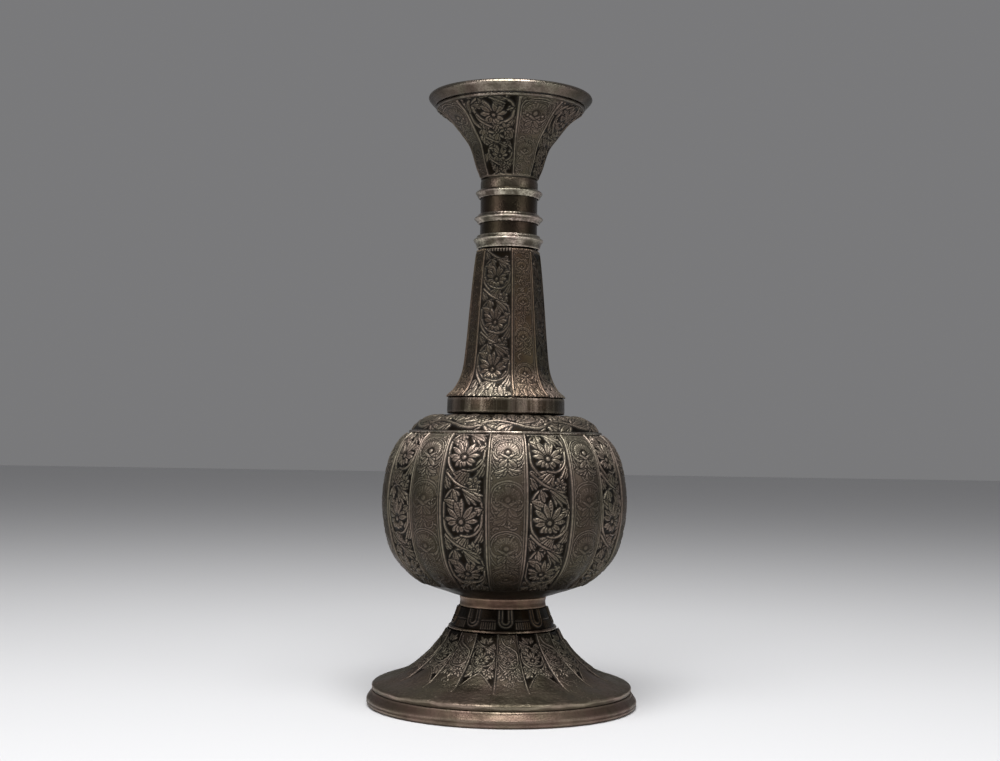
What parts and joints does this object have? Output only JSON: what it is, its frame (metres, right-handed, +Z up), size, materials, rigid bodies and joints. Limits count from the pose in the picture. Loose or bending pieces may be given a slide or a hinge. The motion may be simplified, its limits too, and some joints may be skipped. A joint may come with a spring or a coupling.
{
  "type": "footed vase",
  "caption": "Tall sheet-metal vase with a bell foot, a melon-lobed belly, a faceted neck with turned rings and a trumpet mouth.",
  "frame": {"origin": "on the table, under the middle of the foot", "axes": "+Z up the axis of the vase, -Y towards the front"},
  "size_m": [0.1774, 0.1774, 0.4],
  "materials": {
    "chased_metal": "darkened silvered copper, chased, bright on the high lines and black in the ground",
    "plain_metal": "worn silvered copper, softly polished",
    "copper_tone": "silvering worn through to warm copper"
  },
  "bodies": {
    "root": {"foot_rim": "copper_tone", "foot_plate": "chased_metal", "foot_wire": "plain_metal", "foot_collar": "chased_metal", "stem_ring": "copper_tone", "belly": "chased_metal", "shoulder_wire": "plain_metal", "shoulder_plate": "chased_metal", "neck_collar": "plain_metal", "neck_tube": "chased_metal", "neck_sleeve": "plain_metal", "neck_ring_lower": "plain_metal", "neck_ring_middle": "plain_metal", "neck_ring_upper": "plain_metal", "mouth_trumpet": "chased_metal", "mouth_wire": "plain_metal", "rim_band": "plain_metal"}
  },
  "joints": []
}
